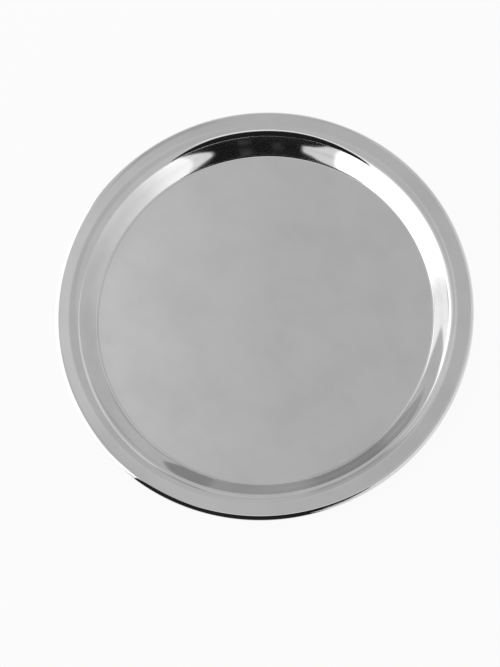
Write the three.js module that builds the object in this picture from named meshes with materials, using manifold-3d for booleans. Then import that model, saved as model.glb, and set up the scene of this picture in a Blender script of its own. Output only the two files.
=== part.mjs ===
// Round collection tray: one pressed sheet of polished steel whose edge is rolled round a steel wire.
// Millimetres, +Z up. The origin is the centre of the underside, which stands on the table.

import * as THREE from "three";
import { mergeVertices } from "three/addons/utils/BufferGeometryUtils.js";
import Module from "manifold-3d";

// Driving dimensions of the pressed sheet
const OUTER_DIAMETER = 300; // over the rolled edge
const TRAY_DEPTH = 20; // from the flat rim down to the floor
const SHEET_THICKNESS = 0.8;
const RIM_WIDTH = 13.2; // from the top of the wall to the outer edge
const WALL_SLOPE = THREE.MathUtils.degToRad(62.5); // at its steepest, measured up from the floor
const BEND_SLOPE = THREE.MathUtils.degToRad(52); // where the tight bends pass into the gentle sweeps
const FLOOR_BEND = 4; // radius of the tight bend at the floor, on the upper face
const FLOOR_SWEEP = 21; // radius of the gentle sweep above it
const RIM_SWEEP = 53; // radius of the gentle sweep below the rim's bend
const RIM_BEND = 4; // radius of the tight bend at the rim, on the upper face

// Driving dimensions of the rolled edge
const WIRE_DIAMETER = 5;
const WIRE_CLEARANCE = 0.3; // between the wire and the sheet rolled round it
const LIP_GAP = 0.8; // left open between the end of the roll and the rim's underside
const BUTT_GAP = 0.6; // between the two ends of the wire

// How finely the round shapes are divided
const TURN_STEPS = 80;
const BEND_STEPS = 5;
const SWEEP_STEPS = 3;
const QUARTER_STEPS = 4;
const CURL_STEPS = 8;
const WIRE_SIDES = 12;

// Levels and radii that follow from the driving dimensions
const OUTER_RADIUS = OUTER_DIAMETER / 2;
const WIRE_RADIUS = WIRE_DIAMETER / 2;
const FLOOR_LEVEL = SHEET_THICKNESS;
const RIM_LEVEL = FLOOR_LEVEL + TRAY_DEPTH;
const CURL_RADIUS = WIRE_RADIUS + WIRE_CLEARANCE + SHEET_THICKNESS;
const CURL_CENTRE = new THREE.Vector2(OUTER_RADIUS - CURL_RADIUS, RIM_LEVEL - CURL_RADIUS);
const CURL_TURN = 2 * Math.PI - Math.acos(1 - (SHEET_THICKNESS + LIP_GAP) / CURL_RADIUS);

// The straight stretch of the wall takes up the depth that the bends and sweeps leave
const BENDS = FLOOR_BEND + RIM_BEND;
const SWEEPS = FLOOR_SWEEP + RIM_SWEEP;
const BENDS_RISE = BENDS * (1 - Math.cos(BEND_SLOPE));
const SWEEPS_RISE = SWEEPS * (Math.cos(BEND_SLOPE) - Math.cos(WALL_SLOPE));
const WALL_LENGTH = (TRAY_DEPTH - BENDS_RISE - SWEEPS_RISE) / Math.sin(WALL_SLOPE);
const BENDS_RUN = BENDS * Math.sin(BEND_SLOPE);
const SWEEPS_RUN = SWEEPS * (Math.sin(WALL_SLOPE) - Math.sin(BEND_SLOPE));
const WALL_RUN = BENDS_RUN + SWEEPS_RUN + WALL_LENGTH * Math.cos(WALL_SLOPE);
const WALL_TOP_RADIUS = OUTER_RADIUS - RIM_WIDTH;
const FLOOR_RADIUS = WALL_TOP_RADIUS - WALL_RUN;

const polishedSteel = new THREE.MeshStandardMaterial({ color: 0xb4b4b4, roughness: 0.1, metalness: 1 });
const drawnSteel = new THREE.MeshStandardMaterial({ color: 0x8d8d8c, roughness: 0.4, metalness: 1 });

// Points on an arc of the section. Angles are measured from straight up, turning outwards.
function arc(centre, radius, from, to, steps) {
  const points = [];
  for (let i = 0; i <= steps; i++) {
    const angle = from + ((to - from) * i) / steps;
    const x = centre.x + radius * Math.sin(angle);
    points.push(new THREE.Vector2(x, centre.y + radius * Math.cos(angle)));
  }
  return points;
}

// One face of the sheet from the centre of the floor to the end of the roll, at a depth below the upper face
function sheetFace(depth) {
  const down = Math.PI;
  const meeting = new THREE.Vector2(Math.sin(BEND_SLOPE), -Math.cos(BEND_SLOPE));
  const floorBend = new THREE.Vector2(FLOOR_RADIUS, FLOOR_LEVEL + FLOOR_BEND);
  const floorSweep = floorBend.clone().addScaledVector(meeting, FLOOR_BEND - FLOOR_SWEEP);
  const rimBend = new THREE.Vector2(WALL_TOP_RADIUS, RIM_LEVEL - RIM_BEND);
  const rimSweep = rimBend.clone().addScaledVector(meeting, RIM_SWEEP - RIM_BEND);
  return [
    new THREE.Vector2(0, FLOOR_LEVEL - depth),
    ...arc(floorBend, FLOOR_BEND + depth, down, down - BEND_SLOPE, BEND_STEPS),
    ...arc(floorSweep, FLOOR_SWEEP + depth, down - BEND_SLOPE, down - WALL_SLOPE, SWEEP_STEPS).slice(1),
    ...arc(rimSweep, RIM_SWEEP - depth, -WALL_SLOPE, -BEND_SLOPE, SWEEP_STEPS),
    ...arc(rimBend, RIM_BEND - depth, -BEND_SLOPE, 0, BEND_STEPS).slice(1),
    ...arc(CURL_CENTRE, CURL_RADIUS - depth, 0, Math.PI / 2, QUARTER_STEPS),
    ...arc(CURL_CENTRE, CURL_RADIUS - depth, Math.PI / 2, CURL_TURN, CURL_STEPS).slice(1),
  ];
}

// A section turned about the vertical axis
function turned(section) {
  return new THREE.LatheGeometry(section, TURN_STEPS).rotateX(Math.PI / 2);
}

function traySheet() {
  const upper = sheetFace(0);
  const under = sheetFace(SHEET_THICKNESS);
  return turned([...under, ...upper.reverse()]);
}

const wasm = await Module();
wasm.setup();

// A closed geometry as a solid that can be cut
function solid(geometry) {
  geometry.deleteAttribute("normal");
  geometry.deleteAttribute("uv");
  const merged = mergeVertices(geometry);
  const vertProperties = merged.attributes.position.array;
  const triVerts = new Uint32Array(merged.index.array);
  return new wasm.Manifold(new wasm.Mesh({ numProp: 3, vertProperties, triVerts }));
}

function geometryOf(manifold) {
  const mesh = manifold.getMesh();
  const geometry = new THREE.BufferGeometry();
  geometry.setAttribute("position", new THREE.BufferAttribute(mesh.vertProperties, 3));
  geometry.setIndex(new THREE.BufferAttribute(mesh.triVerts, 1));
  geometry.computeVertexNormals();
  return geometry;
}

// The wire is a ring of round bar, parted where its two ends meet at the back
function edgeWire() {
  const section = arc(CURL_CENTRE, WIRE_RADIUS, 0, 2 * Math.PI, WIRE_SIDES).reverse();
  const slotSize = 2 * WIRE_DIAMETER;
  const slot = new THREE.BoxGeometry(BUTT_GAP, slotSize, slotSize);
  slot.translate(0, CURL_CENTRE.x, CURL_CENTRE.y);
  return geometryOf(solid(turned(section)).subtract(solid(slot)));
}

function piece(name, geometry, material) {
  const mesh = new THREE.Mesh(geometry, material);
  mesh.name = name;
  return mesh;
}

const tray = new THREE.Group();
tray.add(piece("tray_pan", traySheet(), polishedSteel));
tray.add(piece("rim_wire", edgeWire(), drawnSteel));

export default tray;
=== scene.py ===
"""Looks of a round collection tray in polished steel, with its edge wire, the studio and the camera.

Lengths are metres in the CAD model's own frame, and angles in the fields are degrees. The overall sizes
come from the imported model, and the sheet's section follows from a few driving dimensions.
"""

import logging
import math
from dataclasses import dataclass
from dataclasses import field
from enum import Enum
from typing import Optional
from typing import Union

import bmesh
import bpy
from mathutils import Matrix
from mathutils import Vector


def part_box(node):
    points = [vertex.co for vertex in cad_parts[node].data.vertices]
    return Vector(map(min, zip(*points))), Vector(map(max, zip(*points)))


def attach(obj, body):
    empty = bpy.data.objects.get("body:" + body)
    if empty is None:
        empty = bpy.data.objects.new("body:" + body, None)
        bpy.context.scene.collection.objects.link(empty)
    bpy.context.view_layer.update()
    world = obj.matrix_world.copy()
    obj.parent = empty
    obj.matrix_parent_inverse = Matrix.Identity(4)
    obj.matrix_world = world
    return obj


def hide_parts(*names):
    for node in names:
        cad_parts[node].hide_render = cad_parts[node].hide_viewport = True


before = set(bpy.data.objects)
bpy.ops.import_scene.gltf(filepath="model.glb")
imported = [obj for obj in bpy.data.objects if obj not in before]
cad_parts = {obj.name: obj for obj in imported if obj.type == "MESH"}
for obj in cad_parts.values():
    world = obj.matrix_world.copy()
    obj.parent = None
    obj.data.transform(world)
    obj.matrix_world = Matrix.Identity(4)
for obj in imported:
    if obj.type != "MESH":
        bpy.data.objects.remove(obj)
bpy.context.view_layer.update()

BODY = "root"
UNDERSIDE = "under"  # the attribute that is 1 on the sheet's under face
BLACK = (0, 0, 0, 1)
WHITE = (1, 1, 1, 1)
HALF_TURN = 180.0  # degrees
MILLIMETRES = 1000.0  # to a metre
log = logging.getLogger("collection_tray")

Number = Union[float, "Value"]
Place = tuple[Number, Number]  # a radius and a height in the sheet's section
Socket = bpy.types.NodeSocket
Settings = dict[str, object]
Sockets = dict[Union[int, str], object]


# Node maths

class Value:
    """A number socket that can be used in Python arithmetic, which adds Math nodes to its graph."""

    def __init__(self, graph: "Graph", socket: Socket) -> None:
        """Keeps the socket and the graph that it belongs to."""
        self.graph = graph
        self.socket = socket

    def __add__(self, other: Number) -> "Value":
        """Returns self + other."""
        return self.graph.math("ADD", self, other)

    def __radd__(self, other: Number) -> "Value":
        """Returns other + self."""
        return self.graph.math("ADD", other, self)

    def __sub__(self, other: Number) -> "Value":
        """Returns self - other."""
        return self.graph.math("SUBTRACT", self, other)

    def __rsub__(self, other: Number) -> "Value":
        """Returns other - self."""
        return self.graph.math("SUBTRACT", other, self)

    def __mul__(self, other: Number) -> "Value":
        """Returns self * other."""
        return self.graph.math("MULTIPLY", self, other)

    def __rmul__(self, other: Number) -> "Value":
        """Returns other * self."""
        return self.graph.math("MULTIPLY", other, self)

    def __truediv__(self, other: Number) -> "Value":
        """Returns self / other."""
        return self.graph.math("DIVIDE", self, other)

    def __rtruediv__(self, other: Number) -> "Value":
        """Returns other / self."""
        return self.graph.math("DIVIDE", other, self)

    def __pow__(self, other: Number) -> "Value":
        """Returns self to the power of other."""
        return self.graph.math("POWER", self, other)

    def __neg__(self) -> "Value":
        """Returns -self."""
        return self.graph.math("MULTIPLY", self, -1.0)


class Graph:
    """Adds nodes to one node tree and links them."""

    def __init__(self, tree: bpy.types.NodeTree) -> None:
        """Takes over a node tree and empties it.

        Args:
            tree: A material's tree, the world's tree or a geometry tree.
        """
        tree.nodes.clear()
        self.tree = tree

    def node(
        self, kind: str, settings: Optional[Settings] = None, sockets: Optional[Sockets] = None
    ) -> bpy.types.Node:
        """Adds one node. Its settings come first, because some of them change its sockets.

        Args:
            kind: The node's type.
            settings: Attributes of the node, by name.
            sockets: Values or links of its inputs, by number, identifier or name.

        Returns:
            The new node.
        """
        made = self.tree.nodes.new(kind)
        for name, setting in (settings or {}).items():
            setattr(made, name, setting)
        for key, value in (sockets or {}).items():
            self.feed(self.find(made.inputs, key), value)
        return made

    @staticmethod
    def find(sockets: bpy.types.NodeInputs, key: Union[int, str]) -> Socket:
        """Looks a socket up.

        Args:
            sockets: A node's inputs.
            key: The socket's number, identifier or name.

        Returns:
            The socket.
        """
        if isinstance(key, int):
            return sockets[key]
        for socket in sockets:
            if socket.identifier == key:
                return socket
        return sockets[key]

    def feed(self, socket: Socket, value: object) -> None:
        """Links a value to an input, or writes it there.

        Args:
            socket: The input.
            value: A Value, a list of sockets for a joining input, a socket, or a plain value.
        """
        if isinstance(value, list):
            for one in value:
                self.feed(socket, one)
        elif isinstance(value, Value):
            self.tree.links.new(value.socket, socket)
        elif isinstance(value, Socket):
            self.tree.links.new(value, socket)
        else:
            socket.default_value = value

    def math(self, operation: str, *values: Number) -> Value:
        """Adds a Math node.

        Args:
            operation: Its operation.
            *values: Its one to three inputs.

        Returns:
            Its result.
        """
        made = self.node("ShaderNodeMath", {"operation": operation}, dict(enumerate(values)))
        return Value(self, made.outputs[0])

    def sine(self, angle: Number) -> Value:
        """Returns the sine of an angle in radians."""
        return self.math("SINE", angle)

    def cosine(self, angle: Number) -> Value:
        """Returns the cosine of an angle in radians."""
        return self.math("COSINE", angle)

    def step(self, value: Number, low: Number, high: Number) -> Value:
        """Adds a smooth step.

        Args:
            value: The number that is tested.
            low: Where the step starts from 0.
            high: Where the step has reached 1. It may be less than low, for a falling step.

        Returns:
            A number from 0 to 1.
        """
        made = self.node(
            "ShaderNodeMapRange",
            {"interpolation_type": "SMOOTHSTEP", "clamp": True},
            {"Value": value, "From Min": low, "From Max": high, "To Min": 0.0, "To Max": 1.0},
        )
        return Value(self, made.outputs["Result"])

    def split(self, vector: Socket) -> tuple[Value, Value, Value]:
        """Returns the three components of a vector."""
        made = self.node("ShaderNodeSeparateXYZ", sockets={"Vector": vector})
        return tuple(Value(self, socket) for socket in made.outputs)

    def join(self, x: Number, y: Number, z: Number) -> Socket:
        """Returns the vector with these components."""
        return self.node("ShaderNodeCombineXYZ", sockets={"X": x, "Y": y, "Z": z}).outputs["Vector"]

    def noise(self, place: Socket, seed: Number, waves: float, detail: float) -> Value:
        """Adds a seeded noise.

        Args:
            place: The coordinates that it reads.
            seed: The fourth coordinate, which picks one of many patterns.
            waves: Waves to a metre.
            detail: How many finer layers it adds.

        Returns:
            A number around one half, from 0 to 1.
        """
        made = self.node(
            "ShaderNodeTexNoise",
            {"noise_dimensions": "4D"},
            {"Vector": place, "W": seed, "Scale": waves, "Detail": detail},
        )
        return Value(self, made.outputs["Fac"])

    def mapped(self, place: Socket, turn: float, scale: tuple[float, float, float]) -> Socket:
        """Turns coordinates about the vertical axis, then scales them.

        Args:
            place: The coordinates.
            turn: The turn in degrees.
            scale: The factor along each turned axis.

        Returns:
            The new coordinates.
        """
        for change in ({"Rotation": (0, 0, math.radians(turn))}, {"Scale": scale}):
            made = self.node("ShaderNodeMapping", {"vector_type": "POINT"}, {"Vector": place, **change})
            place = made.outputs["Vector"]
        return place

    def grey(self, tone: Number) -> Socket:
        """Returns a neutral colour of one tone."""
        return self.node(
            "ShaderNodeMix",
            {"data_type": "RGBA", "clamp_factor": True},
            {"Factor_Float": tone, "A_Color": BLACK, "B_Color": WHITE},
        ).outputs[2]

    def metal(self, tone: Number, roughness: Number, bump: bpy.types.Node) -> Socket:
        """Adds the shader of bare metal in a neutral tone.

        Args:
            tone: How light it is.
            roughness: How rough it is.
            bump: The Bump node that gives its relief.

        Returns:
            The shader.
        """
        made = self.node(
            "ShaderNodeBsdfPrincipled",
            sockets={
                "Base Color": self.grey(tone),
                "Metallic": 1.0,
                "Roughness": roughness,
                "Normal": bump.outputs["Normal"],
            },
        )
        return made.outputs["BSDF"]

    def glow(self, colour: object, strength: float = 1.0) -> Socket:
        """Returns the shader of a surface that gives off light."""
        made = self.node("ShaderNodeEmission", None, {"Color": colour, "Strength": strength})
        return made.outputs["Emission"]

    def show(self, surface: Socket) -> None:
        """Links a shader to the material's output."""
        self.node("ShaderNodeOutputMaterial", sockets={"Surface": surface})


def blank_material(name: str) -> tuple[bpy.types.Material, Graph]:
    """Makes a material without nodes.

    Args:
        name: The material's name.

    Returns:
        The material and its graph.
    """
    made = bpy.data.materials.new(name)
    made.use_nodes = True
    return made, Graph(made.node_tree)


class Kind(Enum):
    """What a named input of a geometry tree holds."""

    NUMBER = "NodeSocketFloat"
    COUNT = "NodeSocketInt"
    FINISH = "NodeSocketMaterial"


def numbers(*titles: str) -> dict[str, Kind]:
    """Returns inputs of these names that each hold a number."""
    return dict.fromkeys(titles, Kind.NUMBER)


class GeometryRecipe:
    """A geometry tree with named inputs, whose result becomes a plain mesh."""

    def __init__(self, name: str, inputs: dict[str, Kind]) -> None:
        """Makes the tree and its sockets.

        Args:
            name: The tree's name.
            inputs: The kind of each input, by name.
        """
        self.tree = bpy.data.node_groups.new(name, "GeometryNodeTree")
        self.graph = Graph(self.tree)
        self.tree.interface.new_socket("Geometry", in_out="OUTPUT", socket_type="NodeSocketGeometry")
        for title, kind in inputs.items():
            self.tree.interface.new_socket(title, in_out="INPUT", socket_type=kind.value)
        self.source = self.graph.node("NodeGroupInput")

    def value(self, title: str) -> Value:
        """Returns a number input, ready for arithmetic."""
        return Value(self.graph, self.source.outputs[title])

    def close(self, geometry: Socket) -> None:
        """Links the tree's result."""
        self.graph.node("NodeGroupOutput", sockets={"Geometry": geometry})

    def close_dressed(self, geometry: Socket) -> None:
        """Makes all instances real, puts the finish on the result and links it.

        Args:
            geometry: The finished shape.
        """
        real = self.graph.node("GeometryNodeRealizeInstances", sockets={"Geometry": geometry})
        dressed = self.graph.node(
            "GeometryNodeSetMaterial",
            sockets={"Geometry": real.outputs["Geometry"], "Material": self.source.outputs["Finish"]},
        )
        self.close(dressed.outputs["Geometry"])

    def mesh(self, name: str, values: dict[str, object]) -> bpy.types.Object:
        """Runs the tree once and keeps its result.

        Args:
            name: The new object's name.
            values: The value of each input, by name.

        Returns:
            An object at the origin with a plain mesh and no modifier.
        """
        carrier = bpy.data.objects.new(name, bpy.data.meshes.new(name))
        bpy.context.scene.collection.objects.link(carrier)
        modifier = carrier.modifiers.new(self.tree.name, "NODES")
        modifier.node_group = self.tree
        for item in self.tree.interface.items_tree:
            if item.in_out == "INPUT":
                modifier[item.identifier] = values[item.name]
        depsgraph = bpy.context.evaluated_depsgraph_get()
        result = bpy.data.meshes.new_from_object(carrier.evaluated_get(depsgraph), depsgraph=depsgraph)
        carrier.modifiers.remove(modifier)
        carrier.data = result
        result.name = name
        return carrier


# Finishes

@dataclass(frozen=True)
class PolishedSteel:
    """Sheet steel with a mirror polish, cloudy where a cloth has wiped it and duller on its underside.

    Waves are counted to a metre. A span says where a noise begins to show and where it shows in full.
    """

    tone: float = 0.71
    cloud_tone: float = 0.06  # how much darker the cloudiest places are
    underside_tone: float = 0.08  # how much darker the underside is
    roughness: float = 0.055
    cloud_roughness: float = 0.05
    underside_roughness: float = 0.2
    cloud_waves: float = 26.0
    cloud_span: tuple[float, float] = (0.35, 0.75)
    wipe_waves: float = 44.0
    wipe_span: tuple[float, float] = (0.4, 0.8)
    wipe_direction: float = 35.0
    wipe_squeeze: float = 2.5  # how many times longer than wide the wipes are
    wipe_share: float = 0.25  # the wipes' part in the haze
    scratch_waves: float = 1400.0
    scratch_span: tuple[float, float] = (0.70, 0.78)
    scratch_stretch: float = 0.02  # waves along a scratch for each wave across it
    scratch_sets: tuple[tuple[float, float], ...] = ((20.0, 7.0), (115.0, 8.0))  # direction and seed
    scratch_depth: float = 0.000002
    scratch_strength: float = 0.25
    seed: float = 4.0

    def scratches(self, graph: Graph, place: Socket, turn: float, seed: float) -> Value:
        """Hairline scratches in one direction.

        Args:
            graph: The material's graph.
            place: Object coordinates.
            turn: The direction in degrees.
            seed: Picks the pattern.

        Returns:
            1 inside a scratch, 0 outside.
        """
        drawn_out = graph.mapped(place, turn, (self.scratch_stretch, 1.0, 1.0))
        return graph.step(graph.noise(drawn_out, seed, self.scratch_waves, detail=0.0), *self.scratch_span)

    def material(self, name: str) -> bpy.types.Material:
        """Builds the finish.

        Args:
            name: The material's name.

        Returns:
            The material.
        """
        made, graph = blank_material(name)
        place = graph.node("ShaderNodeTexCoord").outputs["Object"]
        under = Value(graph, graph.node("ShaderNodeAttribute", {"attribute_name": UNDERSIDE}).outputs["Fac"])

        clouds = graph.noise(place, self.seed, self.cloud_waves, detail=3.0)
        wiped = graph.mapped(place, self.wipe_direction, (1.0, self.wipe_squeeze, 1.0))
        wipes = graph.noise(wiped, self.seed + 1, self.wipe_waves, detail=4.0)
        cloudy = graph.step(clouds, *self.cloud_span) * (1.0 - self.wipe_share)
        haze = cloudy + graph.step(wipes, *self.wipe_span) * self.wipe_share

        tone = self.tone - self.cloud_tone * haze - self.underside_tone * under
        roughness = self.roughness + self.cloud_roughness * haze + self.underside_roughness * under
        marks = sum(self.scratches(graph, place, *one) for one in self.scratch_sets)
        bump = graph.node(
            "ShaderNodeBump",
            {"invert": True},
            {"Strength": self.scratch_strength, "Distance": self.scratch_depth, "Height": marks},
        )
        graph.show(graph.metal(tone, roughness, bump))
        return made


@dataclass(frozen=True)
class DrawnSteel:
    """Bright drawn wire: satin, with fine lines that run along it and a few dull spots."""

    tone: float = 0.5
    line_tone: float = 0.08
    spot_tone: float = 0.1
    roughness: float = 0.34
    line_roughness: float = 0.14
    spot_roughness: float = 0.15
    line_waves: float = 3000.0  # to a metre
    line_stretch: float = 0.002  # metres of pattern to a radian along the wire
    line_depth: float = 0.00002
    line_strength: float = 0.4
    spot_waves: float = 160.0
    spot_span: tuple[float, float] = (0.55, 0.75)
    seed: float = 11.0

    def material(self, name: str) -> bpy.types.Material:
        """Builds the finish.

        Args:
            name: The material's name.

        Returns:
            The material.
        """
        made, graph = blank_material(name)
        x, y, z = graph.split(graph.node("ShaderNodeTexCoord").outputs["Object"])
        radius = graph.math("SQRT", x * x + y * y)
        along = graph.math("ARCTAN2", y, x) * self.line_stretch
        lines = graph.noise(graph.join(radius, z, along), self.seed, self.line_waves, detail=3.0)
        blots = graph.noise(graph.join(x, y, z), self.seed + 1, self.spot_waves, detail=4.0)
        spots = graph.step(blots, *self.spot_span)
        tone = self.tone - self.line_tone * lines - self.spot_tone * spots
        roughness = self.roughness + self.line_roughness * lines + self.spot_roughness * spots
        bump = graph.node(
            "ShaderNodeBump",
            None,
            {"Strength": self.line_strength, "Distance": self.line_depth, "Height": lines},
        )
        graph.show(graph.metal(tone, roughness, bump))
        return made


# The tray

@dataclass
class TraySheet:
    """The pressed sheet, from the middle of its floor out to the edge that is rolled round the wire.

    Its section is a chain of straight stretches and arcs. It runs outwards along the upper face, round the
    end of the roll and back inwards along the under face, so that the turned faces all point outwards.
    """

    node: str = "tray_pan"
    thickness: float = 0.0008
    rim_width: float = 0.0104
    wall_slope: float = 62.5  # at its steepest
    bend_slope: float = 59.0  # where the creases pass into the gentle sweeps
    crease_slope: float = 40.0  # where the tight bends pass into the creases
    crease: float = 0.0007  # the radius of each crease, and then those of the bends and sweeps
    floor_bend: float = 0.003
    floor_sweep: float = 0.137
    rim_sweep: float = 0.132
    rim_bend: float = 0.012
    wire_radius: float = 0.0025
    wire_clearance: float = 0.0003
    lip_gap: float = 0.0008
    ripple: float = 0.00006  # how far the pressed sheet strays from its true shape
    ripple_waves: float = 16.0  # to a metre
    ripple_seed: float = 2.0
    weld_distance: float = 0.000002
    turn_steps: int = 288
    arc_steps: tuple[int, int, int] = (14, 6, 22)  # of a bend, a crease and a sweep
    floor_steps: int = 16
    wall_steps: int = 3
    rim_steps: int = 6
    curl_steps: int = 36
    lip_steps: int = 6
    finish: PolishedSteel = field(default_factory=PolishedSteel)

    STRETCH_INPUTS = {
        **numbers("From Radius", "From Height", "To Radius", "To Height", "Bend", "From Angle", "To Angle"),
        "Steps": Kind.COUNT,
        "Turn Steps": Kind.COUNT,
    }
    SHEET_INPUTS = {
        **numbers("Outer Radius", "Rim Level", "Thickness", "Rim Width", "Wall Slope", "Bend Slope"),
        **numbers("Crease Slope", "Crease", "Floor Bend", "Floor Sweep", "Rim Sweep", "Rim Bend"),
        **numbers("Wire Radius", "Wire Clearance", "Lip Gap", "Ripple", "Seed"),
        "Turn Steps": Kind.COUNT,
        "Finish": Kind.FINISH,
    }

    def stretch_recipe(self) -> GeometryRecipe:
        """One stretch of the section turned about the vertical axis.

        A point's place is its centre, which moves from one end to the other, plus an arc about that centre.
        With no bend it is a straight stretch. Angles are measured from straight up, turning outwards.

        Returns:
            The recipe.
        """
        recipe = GeometryRecipe("turned_stretch", self.STRETCH_INPUTS)
        graph = recipe.graph
        grid = graph.node(
            "GeometryNodeMeshGrid",
            sockets={
                "Size X": 1.0,
                "Size Y": 1.0,
                "Vertices X": recipe.value("Steps") + 1.0,
                "Vertices Y": recipe.value("Turn Steps") + 1.0,
            },
        )
        x, y, _ = graph.split(graph.node("GeometryNodeInputPosition").outputs["Position"])
        along = x + 0.5
        turn = (y + 0.5) * math.tau

        def between(start: str, end: str) -> Value:
            """Returns the number at this point between two inputs."""
            return recipe.value(start) + (recipe.value(end) - recipe.value(start)) * along

        angle = between("From Angle", "To Angle")
        radius = between("From Radius", "To Radius") + recipe.value("Bend") * graph.sine(angle)
        height = between("From Height", "To Height") + recipe.value("Bend") * graph.cosine(angle)
        place = graph.join(radius * graph.cosine(turn), radius * graph.sine(turn), height)
        shaped = graph.node(
            "GeometryNodeSetPosition", sockets={"Geometry": grid.outputs["Mesh"], "Position": place}
        )
        recipe.close(shaped.outputs["Geometry"])
        return recipe

    def sheet_recipe(self) -> GeometryRecipe:
        """The whole sheet.

        Returns:
            The recipe, with its sizes as named inputs.
        """
        recipe = GeometryRecipe("rolled_edge_tray", self.SHEET_INPUTS)
        graph = recipe.graph
        stretch_tree = self.stretch_recipe().tree
        outer = recipe.value("Outer Radius")
        rim_level = recipe.value("Rim Level")
        thickness = recipe.value("Thickness")
        lip_gap = recipe.value("Lip Gap")
        curl = recipe.value("Wire Radius") + recipe.value("Wire Clearance") + thickness
        curl_radius = outer - curl
        curl_height = rim_level - curl
        curl_end = math.tau - graph.math("ARCCOSINE", 1.0 - (thickness + lip_gap) / curl)

        slopes = [0.0, recipe.value("Crease Slope"), recipe.value("Bend Slope"), recipe.value("Wall Slope")]
        sines = [graph.sine(slope) for slope in slopes]
        cosines = [graph.cosine(slope) for slope in slopes]
        floor_arcs = [recipe.value(title) for title in ("Floor Bend", "Crease", "Floor Sweep")]
        rim_arcs = [recipe.value(title) for title in ("Rim Bend", "Crease", "Rim Sweep")]
        arcs = [low + high for low, high in zip(floor_arcs, rim_arcs)]
        curved_rise = sum(arcs[i] * (cosines[i] - cosines[i + 1]) for i in range(3))
        curved_run = sum(arcs[i] * (sines[i + 1] - sines[i]) for i in range(3))
        wall_length = (rim_level - thickness - curved_rise) / sines[3]
        wall_top = outer - recipe.value("Rim Width")
        floor_edge = wall_top - curved_run - wall_length * cosines[3]
        half = thickness * 0.5

        def shifted(place: Place, slope: int, distance: Number) -> Place:
            """Returns the place moved square to the sheet, downwards and outwards, at one of the slopes."""
            return place[0] + sines[slope] * distance, place[1] - cosines[slope] * distance

        floor_centres = [(floor_edge, thickness + floor_arcs[0])]
        rim_centres = [(wall_top, rim_level - rim_arcs[0])]
        for i in (1, 2):
            floor_centres.append(shifted(floor_centres[-1], i, floor_arcs[i - 1] - floor_arcs[i]))
            rim_centres.append(shifted(rim_centres[-1], i, rim_arcs[i] - rim_arcs[i - 1]))
        curl_centre = (curl_radius, curl_height)

        def stretch(
            start: Place, end: Place, steps: int,
            bend: Number = 0.0, angles: tuple[Number, Number] = (0.0, 0.0),
        ) -> Socket:
            """Adds one turned stretch.

            Args:
                start: Radius and height of its start, or of its centre.
                end: Radius and height of its end, or of its centre.
                steps: How many steps it is divided into.
                bend: The radius of its arc.
                angles: The first and last angle of its arc.

            Returns:
                Its geometry.
            """
            made = graph.node(
                "GeometryNodeGroup",
                {"node_tree": stretch_tree},
                {
                    "From Radius": start[0],
                    "From Height": start[1],
                    "To Radius": end[0],
                    "To Height": end[1],
                    "Bend": bend,
                    "From Angle": angles[0],
                    "To Angle": angles[1],
                    "Steps": steps,
                    "Turn Steps": recipe.value("Turn Steps"),
                },
            )
            return made.outputs["Geometry"]

        def face(depth: Number) -> list[tuple]:
            """Lists the stretches of one face, from the middle of the floor to the top of the rolled edge.

            Args:
                depth: How far the face lies below the upper one.

            Returns:
                What stretch() takes, for each stretch.
            """
            steps = self.arc_steps
            listed = [((0.0, thickness - depth), (floor_edge, thickness - depth), self.floor_steps)]
            for i, centre in enumerate(floor_centres):
                angles = (math.pi - slopes[i], math.pi - slopes[i + 1])
                listed.append((centre, centre, steps[i], floor_arcs[i] + depth, angles))
            foot = shifted(floor_centres[2], 3, floor_arcs[2] + depth)
            head = shifted(rim_centres[2], 3, depth - rim_arcs[2])
            listed.append((foot, head, self.wall_steps))
            for i in (2, 1, 0):
                angles = (-1.0 * slopes[i + 1], -1.0 * slopes[i])
                listed.append((rim_centres[i], rim_centres[i], steps[i], rim_arcs[i] - depth, angles))
            flat_level = rim_level - depth
            listed.append(((wall_top, flat_level), (curl_radius, flat_level), self.rim_steps))
            listed.append((curl_centre, curl_centre, self.curl_steps, curl - depth, (0.0, curl_end)))
            return listed

        upper = [stretch(*one) for one in face(0.0)]
        under = []
        for start, end, steps, *arc in reversed(face(thickness)):
            if arc:
                arc[1] = arc[1][::-1]
            under.append(stretch(end, start, steps, *arc))
        lip_centre = (
            curl_radius + (curl - half) * graph.sine(curl_end),
            curl_height + (curl - half) * graph.cosine(curl_end),
        )
        lip = stretch(lip_centre, lip_centre, self.lip_steps, half, (curl_end, curl_end + math.pi))
        under_skin = graph.node("GeometryNodeJoinGeometry", sockets={"Geometry": under})
        marked = graph.node(
            "GeometryNodeStoreNamedAttribute",
            {"data_type": "FLOAT", "domain": "POINT"},
            {"Geometry": under_skin.outputs["Geometry"], "Name": UNDERSIDE, "Value": 1.0},
        )
        skins = [*upper, lip, marked.outputs["Geometry"]]
        joined = graph.node("GeometryNodeJoinGeometry", sockets={"Geometry": skins})
        welded = graph.node(
            "GeometryNodeMergeByDistance",
            sockets={"Geometry": joined.outputs["Geometry"], "Distance": self.weld_distance},
        )
        rippled = graph.node(
            "GeometryNodeSetPosition",
            sockets={"Geometry": welded.outputs["Geometry"], "Offset": self.ripple_offset(recipe)},
        )
        smooth = graph.node("GeometryNodeSetShadeSmooth", sockets={"Geometry": rippled.outputs["Geometry"]})
        recipe.close_dressed(smooth.outputs["Geometry"])
        return recipe

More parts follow.
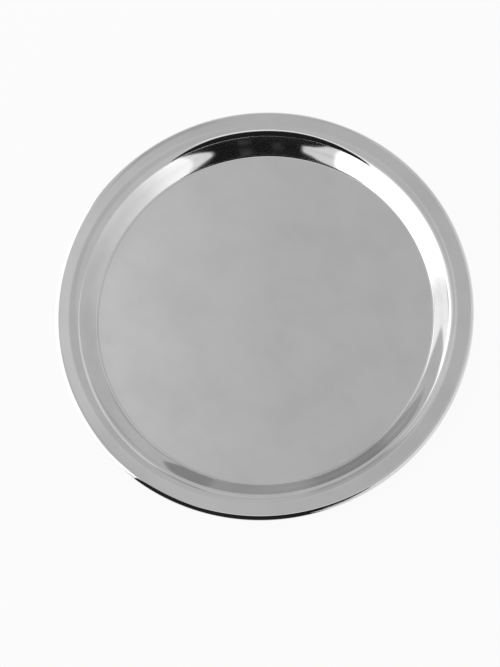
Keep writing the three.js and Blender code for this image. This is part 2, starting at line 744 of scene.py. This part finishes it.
    def ripple_offset(self, recipe: GeometryRecipe) -> Socket:
        """The slight unevenness that pressing leaves, which never reaches outside the true outline.

        Args:
            recipe: The sheet's recipe.

        Returns:
            The offset of each point.
        """
        graph = recipe.graph
        place = graph.node("GeometryNodeInputPosition").outputs["Position"]
        x, y, z = graph.split(place)
        ripple = recipe.value("Ripple")
        seed = recipe.value("Seed")
        upwards = 1.0 - 2.0 * z / recipe.value("Rim Level")  # from 1 at the table to -1 at the rim
        lift = graph.noise(place, seed, self.ripple_waves, detail=1.0) * ripple * upwards
        squeeze = graph.noise(place, seed + 1.0, self.ripple_waves, detail=1.0) * ripple
        draw_in = squeeze / recipe.value("Outer Radius")
        return graph.join(-x * draw_in, -y * draw_in, lift)

    def build(self) -> bpy.types.Object:
        """Makes the sheet at the size of its CAD node.

        Returns:
            The finished piece, riding on its body.
        """
        _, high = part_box(self.node)
        sheet = self.sheet_recipe().mesh(
            "tray_sheet",
            {
                "Outer Radius": high.x,
                "Rim Level": high.z,
                "Thickness": self.thickness,
                "Rim Width": self.rim_width,
                "Wall Slope": math.radians(self.wall_slope),
                "Bend Slope": math.radians(self.bend_slope),
                "Crease Slope": math.radians(self.crease_slope),
                "Crease": self.crease,
                "Floor Bend": self.floor_bend,
                "Floor Sweep": self.floor_sweep,
                "Rim Sweep": self.rim_sweep,
                "Rim Bend": self.rim_bend,
                "Wire Radius": self.wire_radius,
                "Wire Clearance": self.wire_clearance,
                "Lip Gap": self.lip_gap,
                "Ripple": self.ripple,
                "Seed": self.ripple_seed,
                "Turn Steps": self.turn_steps,
                "Finish": self.finish.material("polished_steel"),
            },
        )
        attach(sheet, BODY)
        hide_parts(self.node)
        return sheet


@dataclass
class EdgeWire:
    """The ring of wire inside the rolled edge, parted at the back where its ends meet."""

    node: str = "rim_wire"
    butt_gap: float = 0.0006
    turn_steps: int = 240
    round_steps: int = 24
    sharp_bend: float = 0.7  # radians between two faces above which their edge stays sharp
    finish: DrawnSteel = field(default_factory=DrawnSteel)

    WIRE_INPUTS = {
        **numbers("Ring Radius", "Height", "Wire Radius", "Butt Gap"),
        "Turn Steps": Kind.COUNT,
        "Round Steps": Kind.COUNT,
        "Finish": Kind.FINISH,
    }

    def recipe(self) -> GeometryRecipe:
        """A bar swept round an arc that leaves the gap at the back open.

        Returns:
            The recipe, with its sizes as named inputs.
        """
        recipe = GeometryRecipe("parted_ring", self.WIRE_INPUTS)
        graph = recipe.graph
        gap_angle = recipe.value("Butt Gap") / recipe.value("Ring Radius")
        arc = graph.node(
            "GeometryNodeCurveArc",
            {"mode": "RADIUS"},
            {
                "Resolution": recipe.value("Turn Steps"),
                "Radius": recipe.value("Ring Radius"),
                "Start Angle": gap_angle * 0.5 + math.pi / 2,
                "Sweep Angle": math.tau - gap_angle,
            },
        )
        section = graph.node(
            "GeometryNodeCurvePrimitiveCircle",
            {"mode": "RADIUS"},
            {"Resolution": recipe.value("Round Steps"), "Radius": recipe.value("Wire Radius")},
        )
        bar = graph.node(
            "GeometryNodeCurveToMesh",
            sockets={
                "Curve": arc.outputs["Curve"],
                "Profile Curve": section.outputs["Curve"],
                "Fill Caps": True,
            },
        )
        raised = graph.node(
            "GeometryNodeSetPosition",
            sockets={"Geometry": bar.outputs["Mesh"], "Offset": graph.join(0.0, 0.0, recipe.value("Height"))},
        )
        bend = graph.node("GeometryNodeInputMeshEdgeAngle").outputs["Unsigned Angle"]
        round_edges = graph.node(
            "FunctionNodeCompare",
            {"data_type": "FLOAT", "operation": "LESS_THAN"},
            {"A": bend, "B": self.sharp_bend},
        )
        smooth_faces = graph.node(
            "GeometryNodeSetShadeSmooth", sockets={"Geometry": raised.outputs["Geometry"]}
        )
        smooth_edges = graph.node(
            "GeometryNodeSetShadeSmooth",
            {"domain": "EDGE"},
            {"Geometry": smooth_faces.outputs["Geometry"], "Shade Smooth": round_edges.outputs["Result"]},
        )
        recipe.close_dressed(smooth_edges.outputs["Geometry"])
        return recipe

    def build(self) -> bpy.types.Object:
        """Makes the wire at the size and place of its CAD node.

        Returns:
            The finished piece, riding on its body.
        """
        low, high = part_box(self.node)
        wire_radius = (high.z - low.z) / 2
        wire = self.recipe().mesh(
            "edge_wire",
            {
                "Ring Radius": high.x - wire_radius,
                "Height": (low.z + high.z) / 2,
                "Wire Radius": wire_radius,
                "Butt Gap": self.butt_gap,
                "Turn Steps": self.turn_steps,
                "Round Steps": self.round_steps,
                "Finish": self.finish.material("drawn_steel"),
            },
        )
        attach(wire, BODY)
        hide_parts(self.node)
        return wire


# The studio

@dataclass(frozen=True)
class Panel:
    """One lit or dark panel of the light tent.

    Bearings run from the front, where the camera is, to the right. A blend is how wide a soft edge is.
    """

    name: str
    level: float
    start: float  # bearing of its left edge
    end: float  # bearing of its right edge
    low: float = -10.0  # elevation of its lower edge
    high: float = 63.0  # elevation of its upper edge
    start_blend: float = 2.0
    end_blend: float = 2.0
    low_blend: float = 2.0
    high_blend: float = 4.0
    droop: float = 0.0  # how much lower its upper corners are than its middle
    lift: float = 0.0  # how much higher its lower corners are than its middle
    start_flare: float = 0.0  # how much further it reaches at its foot, or less far below 0
    end_flare: float = 0.0
    flare_top: float = 16.0  # elevation where it begins to widen

    FLARE_POWER = 1.5  # how fast the widening grows downwards
    CORNER_POWER = 4.0  # how close to the corners the droop and the lift stay

    def mask(self, graph: Graph, bearing: Value, elevation: Value) -> Value:
        """Where the panel is.

        Args:
            graph: The tent's graph.
            bearing: The bearing of a point of the tent.
            elevation: Its elevation.

        Returns:
            1 on the panel and 0 off it.
        """
        middle = (self.start + self.end) / 2
        reach = (self.end - self.start) / 2
        offset = graph.math("WRAP", bearing - middle, HALF_TURN, -HALF_TURN)
        left, right = offset + reach, reach - offset
        if self.start_flare or self.end_flare:
            fall = graph.math("MAXIMUM", self.flare_top - elevation, 0.0) / self.flare_top
            widening = fall ** self.FLARE_POWER
            left = left + widening * self.start_flare
            right = right + widening * self.end_flare
        left = graph.step(left, -self.start_blend / 2, self.start_blend / 2)
        right = graph.step(right, -self.end_blend / 2, self.end_blend / 2)
        rounding = (graph.math("ABSOLUTE", offset) / reach) ** self.CORNER_POWER
        bottom = graph.step(elevation - rounding * self.lift, self.low - self.low_blend, self.low)
        edge = self.high_blend / 2
        top = graph.step(elevation + rounding * self.droop, self.high + edge, self.high - edge)
        return left * right * bottom * top


@dataclass
class LightTent:
    """A dome of white cloth with brighter and darker panels. It lights the tray and shows in its polish."""

    radius: float = 2.6
    segments: int = 96
    rings: int = 48
    foot_tolerance: float = 0.001  # how far below the floor a point of the dome may lie
    wall_level: float = 0.83
    ceiling_level: float = 0.583
    ceiling_curve: float = 3.5  # how fast the ceiling brightens to the left
    ceiling_reach: float = 0.22  # share of the radius within which it does
    eave_front: float = 18.0  # elevation where the wall ends and the ceiling begins
    eave_back: float = 45.0
    eave_bearing: float = 8.0  # where the eave is lowest
    eave_power: float = 1.35  # how long the eave stays low on its way to the back
    eave_blend: float = 2.0
    walls: tuple[Panel, ...] = (
        Panel("right_softbox_spill", 1.22, 17.0, 73.0, start_blend=1.0, end_blend=80.0),
        Panel("right_softbox", 1.72, 25.5, 42.0, start_blend=2.0, end_blend=24.0, start_flare=-12.0),
        Panel("left_softbox_spill", 1.18, -36.0, -20.0, start_blend=1.0),
        Panel(
            "left_softbox_end", 1.7, -113.0, -90.0, low=22.0,
            start_blend=3.0, start_flare=115.0, flare_top=36.0,
        ),
        Panel("left_softbox", 2.5, -96.0, -35.5, start_blend=12.0, end_blend=2.5, end_flare=-8.0),
        Panel("left_softbox_foot", 1.5, -126.0, -108.0, high=20.0, start_blend=8.0, end_blend=8.0),
        Panel("right_foot", 0.6, 80.0, 134.0, high=10.0, start_blend=24.0),
        Panel("back_screen", 0.55, 160.0, 232.0, low=33.0, high=90.0, lift=12.0),
        Panel("back_right_screen", 0.42, 196.0, 213.0, low=27.0, high=90.0, start_blend=6.0, end_blend=4.0),
        Panel("back_left_screen", 0.42, 161.0, 176.0, low=33.0, high=90.0, end_blend=6.0, lift=12.0),
        Panel("back_foot", 0.6, 122.0, 238.0, high=30.0, start_blend=20.0, end_blend=8.0, droop=16.0),
        Panel("front_flag", 0.015, -21.5, 16.0, high=90.0, start_flare=64.0, end_flare=38.0),
        Panel("left_fold", 0.05, -13.0, -9.0, low=2.0, high=20.0, start_blend=3.0),
        Panel("middle_fold", 0.07, 0.0, 5.0, low=2.0, high=14.0, start_blend=4.0, high_blend=8.0),
    )
    ceilings: tuple[Panel, ...] = (
        Panel(
            "left_shade", 0.61, -125.0, -20.0, high=82.0,
            start_blend=16.0, end_blend=20.0, high_blend=12.0,
        ),
        Panel("front_strip", 1.12, -54.0, 37.0, high=75.0, droop=33.0),
        Panel("left_softbox_glow", 1.15, -118.0, -40.0, high=44.0, start_blend=16.0, high_blend=30.0),
        Panel(
            "left_softbox_head", 2.5, -96.0, -35.5, high=37.0,
            start_blend=12.0, end_blend=2.5, high_blend=8.0,
        ),
        Panel("back_right_shade", 0.5, 194.0, 214.0, high=66.0, start_blend=10.0, end_blend=6.0),
        Panel(
            "right_shade", 0.66, 24.0, 110.0, high=72.0,
            start_blend=20.0, end_blend=20.0, high_blend=16.0,
        ),
        Panel("front_flag_head", 0.015, -51.0, 34.0, high=67.0, droop=33.0),
    )

    @staticmethod
    def level(
        graph: Graph, base: Number, panels: tuple[Panel, ...], bearing: Value, elevation: Value
    ) -> Number:
        """Lays panels over a base level, one after the other.

        Args:
            graph: The tent's graph.
            base: The level of the cloth behind them.
            panels: The panels, the lowest first.
            bearing: The bearing of a point of the tent.
            elevation: Its elevation.

        Returns:
            The level at that point.
        """
        for panel in panels:
            base = base + (panel.level - base) * panel.mask(graph, bearing, elevation)
            base.socket.node.label = panel.name
        return base

    def material(self) -> bpy.types.Material:
        """The cloth's glow, worked out from the direction that each point has from the tray.

        Returns:
            The material.
        """
        made, graph = blank_material("tent_cloth")
        x, y, z = graph.split(graph.node("ShaderNodeTexCoord").outputs["Object"])
        elevation = graph.math("DEGREES", graph.math("ARCSINE", z / self.radius))
        turn = graph.math("ARCTAN2", x, -y)
        bearing = graph.math("DEGREES", turn)
        wall = self.level(graph, self.wall_level, self.walls, bearing, elevation)
        sideways = graph.math("MINIMUM", graph.math("MAXIMUM", x / self.radius, -self.ceiling_reach), 0.0)
        cloth = self.ceiling_level + self.ceiling_curve * sideways * sideways
        ceiling = self.level(graph, cloth, self.ceilings, bearing, elevation)
        backwards = (1.0 - graph.cosine(turn - math.radians(self.eave_bearing))) * 0.5
        eave = self.eave_front + (self.eave_back - self.eave_front) * backwards ** self.eave_power
        above = graph.step(elevation - eave, -self.eave_blend / 2, self.eave_blend / 2)
        graph.show(graph.glow(wall + (ceiling - wall) * above))
        return made

    def build(self) -> bpy.types.Object:
        """Makes the dome, which the camera itself doesn't see.

        Returns:
            The dome.
        """
        shape = bmesh.new()
        bmesh.ops.create_uvsphere(
            shape, u_segments=self.segments, v_segments=self.rings, radius=self.radius
        )
        lower = [vertex for vertex in shape.verts if vertex.co.z < -self.foot_tolerance]
        bmesh.ops.delete(shape, geom=lower, context="VERTS")
        bmesh.ops.reverse_faces(shape, faces=shape.faces)
        dome = staged_object("light_tent", shape, self.material())
        dome.visible_camera = False
        return dome


def staged_object(name: str, shape: bmesh.types.BMesh, material: bpy.types.Material) -> bpy.types.Object:
    """Makes an object of the studio, which isn't part of the tray.

    Args:
        name: Its name.
        shape: Its mesh, which is freed.
        material: Its material.

    Returns:
        The object.
    """
    mesh = bpy.data.meshes.new(name)
    shape.to_mesh(mesh)
    shape.free()
    mesh.materials.append(material)
    made = bpy.data.objects.new(name, mesh)
    bpy.context.scene.collection.objects.link(made)
    return made


@dataclass
class EdgeCard:
    """A low card curved round one side of the tray. Its reflection brightens or darkens the rolled edge."""

    name: str
    level: float
    radius: float
    height: float
    start: float  # from the right, counter-clockwise as seen from above
    end: float
    end_height: float = 0.0005  # how high its two ends stand
    lean: float = 1.0  # below 1 it is highest near its start
    steps: int = 48

    FULLNESS = 0.7  # below 1 its top rises more steeply from the ends

    def build(self) -> bpy.types.Object:
        """Makes the card, which is lowest at its ends and which only reflections see.

        Returns:
            The card.
        """
        shape = bmesh.new()
        columns = []
        for i in range(self.steps + 1):
            share = i / self.steps
            angle = math.radians(self.start + (self.end - self.start) * share)
            x = self.radius * math.cos(angle)
            y = self.radius * math.sin(angle)
            top = self.end_height + self.height * math.sin(math.pi * share ** self.lean) ** self.FULLNESS
            columns.append((shape.verts.new((x, y, 0.0)), shape.verts.new((x, y, top))))
        for first, second in zip(columns, columns[1:]):
            shape.faces.new((first[0], second[0], second[1], first[1]))
        material, graph = blank_material(self.name)
        graph.show(graph.glow(WHITE, self.level))
        card = staged_object(self.name, shape, material)
        card.visible_camera = False
        card.visible_diffuse = False
        card.visible_transmission = False
        card.visible_shadow = False
        return card


@dataclass
class Studio:
    """The floor, the plain white surroundings, the light tent and the edge cards."""

    floor_size: float = 80.0
    floor_drop: float = 0.0001  # below the tray's underside
    floor_tone: float = 0.9
    floor_glow: float = 0.92  # share of plain white in what the camera and reflections see of the floor
    tent: LightTent = field(default_factory=LightTent)
    cards: tuple[EdgeCard, ...] = (
        EdgeCard("white_left_card", 1.5, radius=0.165, height=0.07, start=140.0, end=232.0),
        EdgeCard("black_front_card", 0.02, radius=0.17, height=0.07, start=231.0, end=288.0, lean=0.5),
    )

    def floor_material(self) -> bpy.types.Material:
        """Pale card that looks white to the camera and in reflections, and still takes the tray's shadow.

        Its underside is clear, so that the tray can also be looked at from below.

        Returns:
            The material.
        """
        made, graph = blank_material("white_card")
        rays = graph.node("ShaderNodeLightPath").outputs
        seen = Value(graph, rays["Is Camera Ray"]) + Value(graph, rays["Is Glossy Ray"])
        seen = graph.math("MINIMUM", seen + Value(graph, rays["Is Transmission Ray"]), 1.0)
        tone = (self.floor_tone, self.floor_tone, self.floor_tone, 1)
        card = graph.node("ShaderNodeBsdfDiffuse", None, {"Color": tone})
        mixed = graph.node(
            "ShaderNodeMixShader",
            None,
            {"Fac": seen * self.floor_glow, 1: card.outputs["BSDF"], 2: graph.glow(WHITE)},
        )
        clear = graph.node("ShaderNodeBsdfTransparent")
        underside = graph.node("ShaderNodeNewGeometry").outputs["Backfacing"]
        one_sided = graph.node(
            "ShaderNodeMixShader",
            None,
            {"Fac": underside, 1: mixed.outputs["Shader"], 2: clear.outputs["BSDF"]},
        )
        graph.show(one_sided.outputs["Shader"])
        return made

    def floor(self) -> bpy.types.Object:
        """Makes the floor.

        Returns:
            The floor.
        """
        shape = bmesh.new()
        bmesh.ops.create_grid(shape, x_segments=1, y_segments=1, size=self.floor_size / 2)
        bmesh.ops.translate(shape, verts=shape.verts, vec=(0, 0, -self.floor_drop))
        return staged_object("floor", shape, self.floor_material())

    def world(self) -> bpy.types.World:
        """Makes the plain white surroundings.

        Returns:
            The world.
        """
        made = bpy.data.worlds.new("white_room")
        made.use_nodes = True
        graph = Graph(made.node_tree)
        white = graph.node("ShaderNodeBackground", None, {"Color": WHITE, "Strength": 1.0})
        graph.node("ShaderNodeOutputWorld", sockets={"Surface": white.outputs["Background"]})
        bpy.context.scene.world = made
        return made

    def build(self) -> None:
        """Makes the whole studio."""
        self.floor()
        self.world()
        self.tent.build()
        for card in self.cards:
            card.build()
        bpy.context.scene.view_settings.view_transform = "Standard"


@dataclass
class PhotoCamera:
    """The camera of the photograph. It looks down on the tray, a little from the front and the right."""

    elevation: float = 75.6
    bearing: float = 20.5  # from the front, to the right
    distance: float = 1.3
    sensor: float = 36.0  # millimetres along the picture's long side
    clip: tuple[float, float] = (0.05, 200.0)  # the nearest and farthest distance that it sees
    frame_px: tuple[int, int] = (500, 667)
    outline_width_px: float = 420.5
    ring_centre_px: tuple[float, float] = (262.2, 311.2)  # where the middle of the rolled edge's ring falls

    def build(self, subject: Vector, width: float) -> bpy.types.Object:
        """Makes the camera and points it so that the tray lies where it does in the photograph.

        Args:
            subject: The middle of the rolled edge's ring.
            width: The tray's width.

        Returns:
            The camera.
        """
        scale = self.outline_width_px / width
        data = bpy.data.cameras.new("camera")
        data.sensor_width = self.sensor
        data.lens = scale * self.distance * self.sensor / max(self.frame_px)
        data.clip_start, data.clip_end = self.clip
        camera = bpy.data.objects.new("camera", data)
        bpy.context.scene.collection.objects.link(camera)
        bearing, elevation = math.radians(self.bearing), math.radians(self.elevation)
        level = math.cos(elevation)
        back = Vector((math.sin(bearing) * level, -math.cos(bearing) * level, math.sin(elevation)))
        right = Vector((0.0, 1.0, 0.0)).cross(back).normalized()
        turn = Matrix((right, back.cross(right), back)).transposed()
        camera.rotation_euler = turn.to_euler()
        right_px = self.ring_centre_px[0] - self.frame_px[0] / 2
        up_px = self.frame_px[1] / 2 - self.ring_centre_px[1]
        aim = subject - turn @ Vector((right_px, up_px, 0.0)) / scale
        camera.location = aim + turn @ Vector((0.0, 0.0, self.distance))
        bpy.context.scene.camera = camera
        return camera


def main() -> None:
    """Builds the tray and its studio."""
    logging.basicConfig(level=logging.INFO, format="%(name)s: %(message)s")
    low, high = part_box("tray_pan")
    wire_low, wire_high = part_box("rim_wire")
    PhotoCamera().build((wire_low + wire_high) / 2, high.x - low.x)
    for maker in (TraySheet(), EdgeWire()):
        piece = maker.build()
        faces = len(piece.data.polygons)
        size = ", ".join(f"{side * MILLIMETRES:.2f}" for side in piece.dimensions)
        log.info("%s replaces %s: %d faces, %s mm", piece.name, maker.node, faces, size)
    Studio().build()
    log.info("studio ready")


if __name__ == "__main__":
    main()
